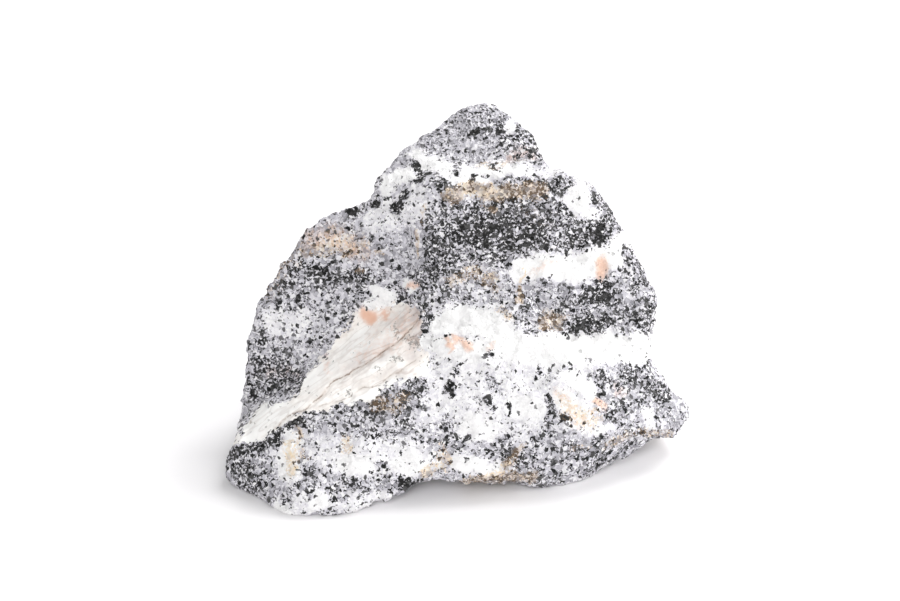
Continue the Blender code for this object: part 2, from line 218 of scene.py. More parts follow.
# Zones lie one over the other in this order, each with its own mix: name, depth reach, drift, points.
# Each point is (across, up, half width). A zone keeps its strength to its depth reach, and drift is
# how far it moves up for each millimetre further back.
ZONES = (
    # Upper left wall.
    ("dusky", THROUGH, 0.2, ((-46, 4, 5), (-34, 3, 4.5), (-24, 3, 3.5))),
    ("dark", THROUGH, 0.2, ((-44, 8, 2), (-38, 8, 2.2), (-28, 6.5, 2), (-18, 5, 2))),
    ("lilac", THROUGH, 0.2, ((-21, 12, 3), (-15, 13, 5), (-13, 8, 4))),
    ("milky", 30.0, 0.1, ((-20, 3, 1.6), (-16, 0.5, 2.4), (-20, -1.5, 2))),
    ("lilac", THROUGH, 0.2, ((-38, 15, 2.6), (-31, 17, 4), (-24, 13, 3))),
    ("pale", 24.0, 0.0, ((-34, 15.5, 1.8), (-28, 15.5, 2.2))),
    ("pale", THROUGH, 0.2, ((-22, 21, 2), (-15, 23, 4.5), (-9, 25, 4.5), (-6, 22, 2))),
    ("pale", THROUGH, 0.2, ((-47, -6, 3.5), (-41, -6, 3.5))),
    ("dark", THROUGH, 0.2, ((-49, -20, 4.5), (-44, -20, 4.5), (-40, -21, 3))),
    ("black", 20.0, 0.0, ((-13, 27, 1.5), (-14.3, 24, 1.5))),
    ("black", 20.0, 0.0, ((-12.5, 31.3, 0.7), (-8, 31.6, 0.9))),
    ("black", 20.0, 0.0, ((-20.5, 25.5, 1.2), (-21, 25.4, 1))),
    ("black", 20.0, 0.0, ((-26.5, 24, 1.2), (-26, 24.4, 1))),
    ("black", 20.0, 0.0, ((-50.3, -8.3, 0.9), (-50, -11.5, 0.9))),
    # Left shoulder and summit.
    ("lilac", THROUGH, 0.1, ((-19, 29, 2.4), (-13, 36, 2.6), (-9, 40, 1.6))),
    ("milky", 30.0, 0.1, ((-18, 29, 1.6), (-15, 32, 1.8), (-11, 33, 1.5))),
    ("streaky", THROUGH, 0.1, ((-4, 43, 5), (4, 44, 8), (14, 43, 8), (22, 40, 6))),
    ("milky", 30.0, 0.1, ((-9, 39, 2), (-5, 37.5, 2.6), (-1, 34, 2.6), (1, 31.5, 2))),
    ("black", 20.0, 0.0, ((-9.5, 36.4, 1.2), (-8, 34, 1.6))),
    ("dark", 20.0, 0.0, ((-4.6, 31.4, 1.2), (-2.6, 30.6, 1.6))),
    ("black", 24.0, 0.0, ((6, 45, 1.1), (9.5, 45.6, 1.1))),
    ("black", 24.0, 0.0, ((13, 47, 1.0), (14, 42, 1.1))),
    ("dark", 30.0, 0.0, ((17, 44.5, 2.2), (21, 44, 2.8))),
    ("lilac", 30.0, 0.0, ((3, 41, 2.6), (9, 40.6, 2.2))),
    ("dusky", 30.0, 0.0, ((13, 39, 2), (22, 40.5, 3))),
    ("dark", 30.0, 0.0, ((18, 41.5, 2.0), (23, 39.6, 2.0))),
    ("vein", 24.0, 0.0, ((16, 46.8, 1.3), (17, 46, 1.2))),
    # White ledge, and the dark lip below it.
    ("pale", THROUGH, 0.3, ((2, 33.4, 2.4), (12, 33.6, 2.6), (22, 33.8, 2.0), (28, 33.8, 1.0))),
    ("vein", THROUGH, 0.3, ((3, 33.0, 1.1), (12, 33.0, 1.2), (20, 33.0, 0.9))),
    ("black", 20.0, 0.0, ((1.6, 34.4, 0.7), (2.2, 33.6, 0.6))),
    ("black", 20.0, 0.0, ((5.2, 31.8, 0.6), (6.6, 31.6, 0.6))),
    ("black", 20.0, 0.0, ((12.2, 34.8, 0.6), (13.4, 34.8, 0.6))),
    # The dark face right of centre.
    ("dark", THROUGH, 0.25, ((-3, 17, 5.5), (-4, 9, 5), (-9, 3.5, 3), (-12, 0, 2))),
    ("dark", THROUGH, 0.25, ((3, 18, 8), (14, 20, 9), (25, 21, 8), (36, 18, 5), (43, 20, 6))),
    ("sooty", THROUGH, 0.25, ((6, 17, 4), (13, 18, 5), (20, 18.5, 3))),
    ("dark", 24.0, 0.0, ((-7, -2, 1.6), (-5.5, -5, 1.6), (-8, -10.5, 1.0))),
    ("dark", THROUGH, 0.2, ((16, 30.6, 1.0), (26, 30.8, 1.6), (33, 31.2, 1.4))),
    ("lilac", 20.0, 0.0, ((0, 28, 2.0), (6, 28.8, 2.2), (13, 28.4, 2.0))),
    ("pale", 20.0, 0.0, ((3.5, 28.6, 0.9), (12, 28.8, 1.0))),
    ("dusky", 20.0, 0.0, ((20, 27.4, 1.6), (27, 26.4, 1.6))),
    # Painted light: a lighter mix on the narrow left-facing step, brightened where the lamps leave it in
    # shade.
    ("lilac", 14.0, 0.0, ((-8.6, 20, 1.0), (-8.6, 8, 1.0))),
    ("common", THROUGH, 0.2, ((0, 3.5, 3), (7, 5.5, 3.6), (14, 5.5, 3))),
    ("dusky", 30.0, 0.0, ((-3, 2, 2.4), (5, 2.4, 1.6))),
    ("pale", 30.0, 0.0, ((34.5, 29.5, 2.8), (34, 26.5, 4.2), (36.5, 24, 3.2))),
    ("milky", 30.0, 0.0, ((34.2, 28.5, 1.6), (34, 26.5, 2.6), (35.6, 25, 1.8))),
    ("dark", 24.0, 0.0, ((38.6, 28, 1.0), (41, 24.5, 1.8), (43, 21, 2.2))),
    ("black", 20.0, 0.0, ((30, 24.8, 1.0), (30.4, 24.6, 0.9))),
    ("black", 20.0, 0.0, ((39, 17, 2.2), (40, 18.5, 2))),
    ("milky", 16.0, 0.0, ((-10.8, 4.2, 1.5), (-9.8, 3.8, 1.4))),
    # Upper white vein and the dark layer below it.
    ("lilac", THROUGH, 0.25, ((19, 2.5, 2.6), (27, 4, 2.6), (34, 4, 2))),
    ("dusky", THROUGH, 0.25, ((22, -2, 4), (32, -3, 6), (44, -1, 6.5), (52, 0, 7))),
    ("vein", THROUGH, 0.3, ((18.5, 8.8, 2.6), (25, 9.4, 3.4), (34, 8.4, 3.2), (41, 11, 3.6), (46, 16, 2.2))),
    ("sooty", THROUGH, 0.25, ((37, 1, 2.6), (41, 1.5, 3), (45, -1, 2))),
    ("dark", 30.0, 0.1, ((46.3, 13.5, 1.1), (47.5, 10.5, 1.5), (51, 6, 2))),
    ("sooty", 20.0, 0.0, ((31.5, -8, 1.4), (36, -6.8, 1.9), (41, -6.4, 1.8))),
    ("dark", THROUGH, 0.1, ((53, 0, 2), (52.4, -8, 1.6))),
    # Lower white vein, its bulge in the middle, and the white ground below it.
    ("pale", 50.0, 0.2, ((0, -20, 7.5), (10, -23, 9), (19, -24, 9), (26, -22, 5))),
    ("pale", 50.0, 0.2, ((-2, -28, 6), (8, -31, 7), (18, -30, 7))),
    ("vein", THROUGH, 0.3, ((14, -12, 3.6), (24, -12.6, 4.0), (34, -12.8, 3.9), (47, -12.2, 3.7),
                            (50, -12, 3.4))),
    ("vein", 40.0, 0.3, ((-3.5, -6, 2.8), (3, -5, 4.2), (10, -6, 4.4), (13, -9, 3.4))),
    ("milky", 40.0, 0.3, ((-6, -11, 2.6), (0, -13, 3), (12, -14, 3))),
    ("milky", 30.0, 0.0, ((6, -32, 3), (9, -34, 3))),
    ("milky", 30.0, 0.0, ((17, -28, 2.6), (22, -29, 2.6))),
    ("milky", 30.0, 0.0, ((2, -42.5, 2), (11, -43.5, 2.2))),
    ("vein", 30.0, 0.0, ((32, -20, 2.4), (35.5, -22.5, 2.8))),
    ("pale", 30.0, 0.0, ((29, -26, 3), (36, -29, 4.5), (32, -34, 3))),
    ("milky", 30.0, 0.0, ((29, -26, 2.4), (34, -30, 2.6))),
    ("lilac", 30.0, 0.0, ((26, -36.5, 2.2), (34, -37, 2.2))),
    ("black", 20.0, 0.0, ((10.2, -14.2, 0.9), (10.8, -15, 0.9))),
    ("black", 20.0, 0.0, ((-1.8, -22.8, 1.2), (-0.6, -23.4, 1.1))),
    ("black", 20.0, 0.0, ((10.4, -25.6, 0.9), (10.6, -28, 0.7))),
    ("black", 20.0, 0.0, ((0.6, -19.4, 0.8), (1.2, -19.4, 0.8))),
    ("black", 20.0, 0.0, ((22.8, -17.8, 0.9), (23.2, -18.2, 0.8))),
    ("black", 20.0, 0.0, ((15, -27.4, 0.6), (15, -30, 0.6))),
    ("black", 20.0, 0.0, ((29.4, -31.2, 1.0), (30, -31.6, 0.9))),
    ("dark", 20.0, 0.0, ((26, -26, 1.3), (26.4, -29, 1.3), (25, -34, 1.2))),
    ("dusky", 20.0, 0.0, ((11, -21, 1.6), (12.4, -22.6, 1.4))),
    ("dusky", 20.0, 0.0, ((-1.5, -32, 1.8), (0, -35, 2))),
    ("dark", 20.0, 0.0, ((3, -37.5, 1.7), (5, -35, 1.2))),
    ("dusky", 20.0, 0.0, ((8, -38.4, 1.2), (15, -36, 1.4))),
    ("dark", 20.0, 0.0, ((14.5, -40, 1.8), (20.5, -41.6, 2.6))),
    # Lower right and the toe.
    ("common", THROUGH, 0.2, ((41, -20, 3), (44, -28, 5), (52, -28, 5), (60, -30, 5))),
    ("dark", THROUGH, 0.2, ((46, -19, 2.4), (51, -20, 3.4), (56, -24.5, 2))),
    ("dark", 20.0, 0.0, ((38.5, -19.4, 1.2), (39.4, -22.6, 1.3))),
    ("dark", 20.0, 0.0, ((42, -29.6, 1.4), (46.5, -28.6, 1.7))),
    ("milky", 24.0, 0.0, ((52.6, -29, 1.4), (53.6, -31.4, 1.7))),
    ("milky", 20.0, 0.0, ((38.4, -33.8, 1.2), (42, -33.4, 1))),
    ("lilac", THROUGH, 0.0, ((57, -30, 3), (62, -29, 3))),
    # The undercut below the long ridge: its darker mix is painted shade, as it faces down away from the
    # light.
    ("dusky", 60.0, 0.0, ((5, -48, 2), (20, -47, 3), (30, -42.5, 4.6), (42, -40.5, 4.6), (52, -36, 2.5))),
    # Lower left block.
    ("dusky", 50.0, 0.1, ((-28, -30, 2.6), (-18, -28, 3.2), (-8, -27, 2.6))),
    ("dark", 30.0, 0.0, ((-20, -28.5, 2), (-13, -23.4, 1.8), (-7, -22, 1.7))),
    ("pale", 30.0, 0.0, ((-33, -38, 3.4), (-24, -40.5, 4.8), (-12, -40, 4.8), (-4, -41, 3))),
    ("milky", 20.0, 0.0, ((-27, -41, 2.4), (-22, -42, 2.2))),
    ("milky", 20.0, 0.0, ((-13, -41.5, 2.4), (-8, -41.5, 2.4))),
    ("pale", 30.0, 0.0, ((-43, -54, 3), (-34, -51, 2.6), (-26, -53.5, 2.6), (-18, -50, 2.2))),
    ("milky", 20.0, 0.0, ((-35.5, -51.4, 1.7), (-32, -51.6, 1.6))),
    ("milky", 20.0, 0.0, ((-42.5, -54.6, 1.8), (-41, -55.2, 1.6))),
    ("black", 20.0, 0.0, ((-53.8, -21.5, 0.5), (-52.4, -26.5, 0.6))),
    ("dusky", 40.0, 0.2, ((-47, -38, 2.4), (-53, -42, 4.4), (-51, -47, 4))),
    ("dark", 20.0, 0.0, ((-57, -41, 1.8), (-54, -44.5, 2.6), (-50.5, -48.5, 1.8))),
    ("sooty", 30.0, 0.0, ((-38, -30.4, 0.8), (-47.5, -36.6, 1.5), (-56, -40.6, 1.8))),
    ("milky", 20.0, 0.0, ((-41, -36, 2.2), (-41.0, -44, 3.0))),
    ("black", 20.0, 0.0, ((-20, -34, 1.2), (-19.2, -33.8, 1.2))),
    ("dark", 20.0, 0.0, ((-15, -34, 1.2), (-8, -35.4, 1.3))),
    ("dark", 20.0, 0.0, ((-35.6, -43.4, 0.9), (-34, -46.6, 1.4))),
    ("dark", 20.0, 0.0, ((-28, -44.6, 1.0), (-25, -46.4, 1.3), (-21.5, -48.6, 1.2))),
    ("black", 20.0, 0.0, ((-18, -42.4, 1.0), (-17.4, -43, 0.9))),
    ("black", 20.0, 0.0, ((-12.4, -46.4, 1.4), (-10.6, -46.6, 1.3))),
    ("dark", 20.0, 0.0, ((-38, -47.4, 0.8), (-36.4, -49.4, 0.9))),
    ("dark", 20.0, 0.0, ((-29.6, -51.6, 0.9), (-27, -51.8, 0.9))),
    ("dusky", 20.0, 0.0, ((-46, -50, 2.4), (-41, -50.6, 1.6))),
    ("dusky", 20.0, 0.0, ((-17, -46.6, 1.8), (-15, -46.8, 1.6))),
)

# Stains, over whatever mix lies there: strength, depth reach, drift, points.
RUST_ZONES = (
    (0.90, 16.0, 0.0, ((0, 28, 2.0), (6, 28.8, 2.2), (14, 28.8, 2.2), (24, 28.4, 2.0))),
    (1.20, 12.0, 0.0, ((1, 28.4, 1.1), (7, 28.6, 1.3), (13, 28.8, 1.4))),
    (0.75, 12.0, 0.0, ((8, 25, 0.7), (12.6, 24.6, 0.7))),
    (0.95, 14.0, 0.0, ((-8.6, 18.5, 0.45), (-8.4, 12, 0.5))),
    (0.60, 14.0, 0.0, ((-7, 23.5, 1.2), (-6.4, 20, 1.2))),
    (0.85, 14.0, 0.0, ((20.2, 7.4, 0.5), (19.2, 4, 0.55), (18.2, -0.5, 0.6))),
    (0.75, 14.0, 0.0, ((-41.6, -36, 1.6), (-41, -44, 2.2))),
    (0.55, 14.0, 0.0, ((-38.4, -33.4, 1.5), (-38.6, -40, 1.8))),
    (0.80, 16.0, 0.0, ((17.5, -38.6, 1.6), (15.5, -43.4, 2.2))),
    (0.78, 30.0, 0.0, ((3, -46.6, 1.4), (12, -46, 2.0), (22, -46, 1.7))),
    (0.60, 20.0, 0.0, ((-2.5, -36, 1.0), (-1.5, -40, 1.4), (-4.5, -43.5, 1.6))),
    (0.60, 16.0, 0.0, ((29, -24.6, 1.8), (31, -30, 3.2), (36, -31, 3.4))),
    (0.65, 14.0, 0.0, ((-27.4, -35.6, 1.2), (-26.6, -38, 1.2))),
    (0.85, 14.0, 0.0, ((-7, -45.2, 1.3), (-5.6, -45, 1.2))),
    (0.55, 14.0, 0.0, ((-3.8, -38.6, 0.9), (-2.4, -43.4, 1.3))),
    (0.78, 14.0, 0.0, ((25.6, -5, 2.2), (29, -5.6, 2.4))),
    (0.80, 16.0, 0.0, ((-19.8, 13.4, 1.0), (-18.6, 12.6, 1.0))),
    (0.70, 16.0, 0.0, ((-24, 8.4, 0.9), (-23, 8.2, 0.8))),
    (0.60, 16.0, 0.0, ((-19, -26.5, 2), (-14, -26.5, 2.4), (-11, -25, 1.6))),
    (0.55, 24.0, 0.0, ((7, 36.2, 0.7), (13, 36.2, 0.8), (20, 37, 0.8))),
    (0.62, 16.0, 0.0, ((1, 5.5, 2), (7, 8, 2.4), (11, 4.6, 3))),
    (0.62, 16.0, 0.0, ((13, -2.5, 1.8), (15.5, -5, 1.8))),
    (0.60, THROUGH, 0.0, ((40, -38, 1.6), (52, -34.8, 1.8), (58, -35.4, 1.8))),
    (0.55, 16.0, 0.0, ((32, -38.2, 1.0), (35, -38.2, 1.0))),
    (0.40, THROUGH, 0.2, ((-48, 2, 3), (-45, 8, 3), (-38, 17, 3.5))),
    (0.62, 24.0, 0.0, ((-38, 14, 2.8), (-31, 16.4, 4.0), (-24, 14, 3.0))),
    (0.30, THROUGH, 0.1, ((18, 27, 4), (24, 20, 4))),
    (0.70, 14.0, 0.0, ((-19.4, -18.2, 0.7), (-18.6, -18, 0.7))),
)
PINK_ZONES = (
    (1.00, 20.0, 0.0, ((-22.4, -4.4, 1.7), (-20.4, -5, 2.2))),
    (0.80, 20.0, 0.0, ((-16.6, -3.8, 1.2), (-15.4, -4, 1.2))),
    (0.75, 16.0, 0.0, ((-11, 4.2, 1.7), (-9.6, 4, 1.4))),
    (0.88, 24.0, 0.0, ((39.8, 9.9, 1.9), (40, 8.2, 2.2))),
    (0.90, 16.0, 0.0, ((37.6, -25.6, 1.0), (39.4, -26.8, 1.3))),
    (0.45, 24.0, 0.0, ((22, 7.4, 1.4), (28, 10.6, 1.4))),
    (0.90, 16.0, 0.0, ((-1.6, -11, 1.2), (-0.4, -13.4, 1.0))),
    (0.85, 16.0, 0.0, ((0.6, -10.4, 1.5), (4.4, -11.4, 1.3))),
    (0.60, 16.0, 0.0, ((9.6, -12, 0.8), (11.6, -10.6, 0.8))),
    (0.45, 30.0, 0.0, ((17, 38.5, 2.2), (22, 39.6, 2.4))),
    (0.35, 20.0, 0.0, ((-12.6, -9.4, 1.5), (-10.2, -11, 1.5))),
    (0.30, 20.0, 0.0, ((-13.4, -12.6, 1.0), (-11.6, -13.2, 0.9))),
    (0.42, 20.0, 0.0, ((-11, -4.5, 3), (-16, -10, 3.5), (-24, -14, 3))),
    (0.46, 30.0, 0.0, ((-38, 15, 3.4), (-31, 17, 4.2), (-24, 13, 3.4))),
    (0.35, 40.0, 0.2, ((-47, -19, 2.5), (-41, -19, 2))),
    (0.45, 20.0, 0.0, ((28, -25, 2.4), (33, -31, 3))),
    (0.45, 20.0, 0.0, ((44, -23, 1.5), (46, -24.4, 1.5))),
    (0.45, 20.0, 0.0, ((-33, -15, 1.2), (-32.4, -18.6, 1.2))),
)


def hashed(i, j, k, seed):
    """A repeatable number from 0 to 1 for each whole-number grid point."""
    mask = 0xFFFFFFFF
    value = (i * 374761393 + j * 668265263 + k * 1442695041 + seed * 1274126177) & mask
    value = ((value ^ (value >> 13)) * 1274126177) & mask
    value = ((value ^ (value >> 15)) * 668265263) & mask
    return ((value ^ (value >> 16)) & 0xFFFFFF) / 0xFFFFFF


def smooth_noise(points, size, seed):
    """Noise from -1 to 1 that changes gently over the given size."""
    scaled = points / size
    corner = np.floor(scaled).astype(np.int64)
    part = scaled - corner
    part = part * part * (3.0 - 2.0 * part)
    total = np.zeros(len(points))
    for step in np.ndindex(2, 2, 2):
        share = np.prod(np.abs(1 - np.array(step) - part), axis=1)
        near = corner + step
        total += share * hashed(near[:, 0], near[:, 1], near[:, 2], seed)
    return 2.0 * total - 1.0


def wander(points, size, reach, seed):
    """Points moved about by smooth noise, to make straight outlines ragged."""
    shift = [smooth_noise(points, size, seed + axis) for axis in range(3)]
    return points + reach * np.stack(shift, axis=1)


def wander_all(points, steps, seed=0):
    """Points moved about by each (size, reach, added seed) in turn."""
    for size, reach, added in steps:
        points = wander(points, size, reach, seed + added)
    return points


def cells(points, size, seed):
    """Offset of each point from the nearest cell centre, in cell sizes, and four numbers of that cell."""
    scaled = points / size
    corner = np.floor(scaled).astype(np.int64)
    best = np.full(len(points), 9.0)
    offset = np.zeros((len(points), 3))
    owner = np.zeros((len(points), 3), np.int64)
    for step in np.ndindex(3, 3, 3):
        cell = corner + step - 1
        jitter = [hashed(cell[:, 0], cell[:, 1], cell[:, 2], seed + n) for n in range(3)]
        away = scaled - cell - np.stack(jitter, axis=1)
        distance = (away * away).sum(axis=1)
        nearer = distance < best
        best[nearer] = distance[nearer]
        offset[nearer] = away[nearer]
        owner[nearer] = cell[nearer]
    numbers = [hashed(owner[:, 0], owner[:, 1], owner[:, 2], seed + 7 + n) for n in range(4)]
    return offset, np.stack(numbers, axis=1)


def smooth_step(low, high, value):
    """0 below low, 1 above high, smooth between them."""
    part = np.clip((value - low) / (high - low), 0.0, 1.0)
    return part * part * (3.0 - 2.0 * part)


def face_frame(points):
    """World points in metres, as (across, up, back) in millimetres."""
    return face_directions(points / MM - FACE_MIDDLE)


def face_directions(vectors):
    """World directions, as (across, up, back)."""
    return np.stack((vectors @ ACROSS, vectors @ UP, vectors @ BACK), axis=1)


def from_segment(flat, start, end):
    """Offset of each (across, up) point from the nearest point of a segment, and how far along that is."""
    along = end - start
    part = np.clip(((flat - start) @ along) / (along @ along), 0.0, 1.0)
    return flat - start - part[:, None] * along, part


def distance_to_chain(flat, points, widths):
    """How far each (across, up) point is from a chain of segments, in half widths of the chain there."""
    best = np.full(len(flat), 1e9)
    for (start, end), (width, next_width) in zip(zip(points, points[1:]), zip(widths, widths[1:])):
        aside, part = from_segment(flat, start, end)
        gap = np.linalg.norm(aside, axis=1)
        best = np.minimum(best, gap / (width + (next_width - width) * part))
    return best


def zone_share(ragged, chain, reach, drift, softness):
    """1 inside the zone, 0 outside it."""
    points = np.array([(across, up) for across, up, _ in chain], float)
    widths = [width for _, _, width in chain]
    flat = ragged[:, :2].copy()
    flat[:, 1] -= drift * np.maximum(ragged[:, 2] - FRONT_DEPTH, 0.0)
    distance = distance_to_chain(flat, points, widths)
    inside = 1.0 - smooth_step(1.0 - softness, 1.0 + softness, distance)
    return inside * (1.0 - smooth_step(reach, reach + ZONE_FADE, ragged[:, 2]))


def mineral_shares(place):
    """The mix at each place, as rows of dark, white, grey and fine."""
    ragged = wander_all(place, ZONE_WANDER, MIX_SEED)
    shares = np.tile(np.array(MIXES[BASE_MIX]), (len(place), 1))
    for name, reach, drift, chain in ZONES:
        inside = zone_share(ragged, chain, reach, drift, MIX_SOFTNESS)[:, None]
        shares += (np.array(MIXES[name]) - shares) * inside
    return shares


def stain_strength(place, zones, seed):
    """The strongest of the zones at each place."""
    ragged = wander_all(place, ZONE_WANDER, seed)
    result = np.zeros(len(place))
    for strength, reach, drift, chain in zones:
        result = np.maximum(result, strength * zone_share(ragged, chain, reach, drift, STAIN_SOFTNESS))
    return result


def inside_outline(flat, outline):
    """How far each (across, up) point is inside a closed outline, in millimetres; outside is negative."""
    corners = np.array(outline, float)
    nearest = np.full(len(flat), 1e9)
    within = np.zeros(len(flat), bool)
    for start, end in zip(corners, np.roll(corners, -1, axis=0)):
        aside, _ = from_segment(flat, start, end)
        nearest = np.minimum(nearest, np.linalg.norm(aside, axis=1))
        spans = (start[1] > flat[:, 1]) != (end[1] > flat[:, 1])
        along = end - start
        rise = along[1] if along[1] else 1.0
        crossing = start[0] + (flat[:, 1] - start[1]) / rise * along[0]
        within ^= spans & (flat[:, 0] < crossing)
    return np.where(within, nearest, -nearest)


def slope_share(place, normals):
    """1 on the slick slope, 0 elsewhere."""
    corners = [np.array(corner, float) for corner in SLOPE_PLANE]
    normal = np.cross(corners[1] - corners[0], corners[2] - corners[0])
    normal *= -np.sign(normal[2]) / np.linalg.norm(normal)
    ragged = wander_all(place, SLOPE_WANDER)
    share = smooth_step(*SLOPE_EDGE, inside_outline(ragged[:, :2], SLOPE_OUTLINE))
    share *= smooth_step(*SLOPE_FACING, normals @ normal)
    return share * (1.0 - smooth_step(*SLOPE_BACK, place[:, 2]))


def crack_share(place):
    """1 in the middle of a crack of the slope and 0 away from them, and the depth of the crack there."""
    ragged = wander_all(place, CRACK_WANDER)[:, :2]
    share = np.zeros(len(place))
    depth = np.zeros(len(place))
    for deep, width, points in SLOPE_CRACKS:
        line = np.array(points, float)
        near = 1.0 - smooth_step(0.2, 1.0, distance_to_chain(ragged, line, [width] * len(line)))
        share = np.maximum(share, near * min(1.0, deep / FULL_CRACK))
        depth = np.maximum(depth, near * deep)
    return share, depth


def crack_gap(place):
    """Distance in millimetres to the nearest crack, positive on one side of it and negative on the other."""
    ragged = wander_all(place, CRACK_WANDER)[:, :2]
    gap = np.full(len(place), CRACK_REACH)
    for _, _, points in SLOPE_CRACKS:
        line = np.array(points, float)
        for start, end in zip(line, line[1:]):
            aside, _ = from_segment(ragged, start, end)
            distance = np.linalg.norm(aside, axis=1)
            along = end - start
            side = np.where(along[0] * aside[:, 1] > along[1] * aside[:, 0], 1.0, -1.0)
            gap = np.where(distance < np.abs(gap), side * distance, gap)
    return gap


def slope_streaks(place):
    """Noise from -1 to 1 drawn out along the slope, as polish left by sliding."""
    across, up = STREAK_WAY
    along = place @ np.array((across, up, 0.0))
    aside = place @ np.array((-up, across, 0.0))
    drawn_out = np.stack((along / STREAK_LENGTH, aside, 0.4 * place[:, 2]), axis=1)
    return sum(weight * smooth_noise(drawn_out, size, seed) for weight, size, seed in STREAK_NOISES)


def vertex_places(mesh):
    places = np.empty(len(mesh.vertices) * 3)
    mesh.vertices.foreach_get("co", places)
    return places.reshape(-1, 3)


def vertex_normals(mesh):
    """Normals worked out in a fixed order, so that every run gives the same ones."""
    shape = bmesh.new()
    shape.from_mesh(mesh)
    shape.normal_update()
    normals = np.array([vertex.normal[:] for vertex in shape.verts])
    shape.free()
    return normals


def whole_numbers(items, name, width=1):
    """One property of every item, as an array of whole numbers."""
    values = np.empty(len(items) * width, np.int32)
    items.foreach_get(name, values)
    return values


def evaluated_mesh(obj):
    graph = bpy.context.evaluated_depsgraph_get()
    return bpy.data.meshes.new_from_object(obj.evaluated_get(graph), depsgraph=graph)


def keep_outer_surface(mesh):
    """Drops specks that the remesh leaves inside the stone."""
    shape = bmesh.new()
    shape.from_mesh(mesh)
    unseen = set(shape.verts)
    largest = set()
    while unseen:
        reached = {unseen.pop()}
        front = list(reached)
        while front:
            vertex = front.pop()
            for edge in vertex.link_edges:
                other = edge.other_vert(vertex)
                if other not in reached:
                    reached.add(other)
                    front.append(other)
        unseen -= reached
        if len(reached) > len(largest):
            largest = reached
    specks = [vertex for vertex in shape.verts if vertex not in largest]
    bmesh.ops.delete(shape, geom=specks, context="VERTS")
    shape.to_mesh(mesh)
    shape.free()


def fine_copy(node):
    """The CAD solid as a fine even mesh, with its facets softened."""
    obj = bpy.data.objects.new("broken_stone", node.data.copy())
    bpy.context.scene.collection.objects.link(obj)
    weld = obj.modifiers.new("Join", "WELD")
    weld.merge_threshold = 0.01 * MM
    soften = obj.modifiers.new("Soften", "SMOOTH")
    soften.factor = 0.5
    soften.iterations = 2
    remesh = obj.modifiers.new("Fine", "REMESH")
    remesh.mode = "VOXEL"
    remesh.voxel_size = FINE_VOXEL
    mesh = evaluated_mesh(obj)
    keep_outer_surface(mesh)
    obj.modifiers.clear()
    obj.data = mesh
    mesh.name = "broken_stone"
    return obj


def broken_relief(place):
    """Height in millimetres: each cell of each size has its own level and slope, as a fracture leaves it."""
    height = np.zeros(len(place))
    for number, (size, rise) in enumerate(CHIP_SIZES):
        seed = 100 * (number + 1)
        offset, numbers = cells(wander(place, size * 0.8, size * 0.18, seed + 50), size, seed)
        level = 2.0 * numbers[:, 0] - 1.0
        slope = 2.0 * numbers[:, 1:] - 1.0
        height += rise * (level + 1.1 * (offset * slope).sum(axis=1))
    size, rise = DIMPLES
    return height + rise * smooth_noise(place, size, DIMPLES_SEED)


def roughen(obj):
    """Gives the stone its broken surface and its cracks, and leaves it flat where it stands."""
    mesh = obj.data
    points = vertex_places(mesh)
    normals = vertex_normals(mesh)
    place = face_frame(points)
    slope = slope_share(place, face_directions(normals))
    _, crack_depth = crack_share(place)
    height = broken_relief(place) * (1.0 - (1.0 - SLOPE_ROUGHNESS) * slope)
    height -= crack_depth * slope
    height *= smooth_step(*GROUND_FADE, points[:, 2] / MM)
    moved = points + normals * (height * MM)[:, None]
    moved[:, 2] = np.maximum(moved[:, 2], 0.0)
    mesh.vertices.foreach_set("co", moved.astype(np.float32).ravel())
    mesh.update()


def paint_minerals(obj):
    """Stores the share of each mineral and stain, and the slope's painted highlight, at every vertex, for
    the stone's material to read.
    """
    mesh = obj.data
    place = face_frame(vertex_places(mesh))
    slope = slope_share(place, face_directions(vertex_normals(mesh)))
    crack, _ = crack_share(place)
    dark, white, grey, fine = mineral_shares(place).T
    layers = {
        "dark": dark,
        "white": white,
        "grey": grey,
        "fine": fine,
        "rust": stain_strength(place, RUST_ZONES, RUST_SEED),
        "pink": stain_strength(place, PINK_ZONES, PINK_SEED),
        "slick": slope,
        "crack": crack * slope,
        "crack_gap": crack_gap(place),
        "streak": 0.5 + 0.5 * slope_streaks(place),
        # Painted highlight on the slope, whitest at its up-left facing end.
        "slope_highlight": stain_strength(place, SLOPE_HIGHLIGHTS, SLOPE_HIGHLIGHT_SEED),
        "grime": stain_strength(place, SLOPE_GRIMES, GRIME_SEED),
        "slope_specks": stain_strength(place, SLOPE_SPECKS, SPECKS_SEED),
    }
    for name, values in layers.items():
        layer = mesh.attributes.new(name, "FLOAT", "POINT")
        layer.data.foreach_set("value", values.astype(np.float32))


def smoothed_normals(mesh):
    """Vertex normals in the face frame, evened out over the surface."""
    normals = face_directions(vertex_normals(mesh))
    ends = whole_numbers(mesh.edges, "vertices", 2).reshape(-1, 2)
    count = len(normals)
    for _ in range(NORMAL_SMOOTHING):
        others = normals[ends[:, ::-1].ravel()]
        spread = [np.bincount(ends.ravel(), others[:, axis], count) for axis in range(3)]
        normals += np.stack(spread, axis=1)
        normals /= np.linalg.norm(normals, axis=1)[:, None]
    return normals


def touching_faces(mesh, corner_face):
    """Pairs of faces that share an edge."""
    corner_edge = whole_numbers(mesh.loops, "edge_index")
    order = np.argsort(corner_edge, kind="stable")
    same_edge = corner_edge[order][:-1] == corner_edge[order][1:]
    face = corner_face[order]
    return np.stack((face[:-1][same_edge], face[1:][same_edge]), axis=1)


def patch_numbers(side, neighbours):
    """For each face, the number of the patch of touching faces that share its side of the stone."""
    joined = neighbours[side[neighbours[:, 0]] == side[neighbours[:, 1]]]
    patch = np.arange(len(side))
    while True:
        first, second = patch[joined[:, 0]], patch[joined[:, 1]]
        lower = np.minimum(first, second)
        merged = patch.copy()
        np.minimum.at(merged, first, lower)
        np.minimum.at(merged, second, lower)
        merged = merged[merged]
        if (merged == patch).all():
            return patch
        patch = merged


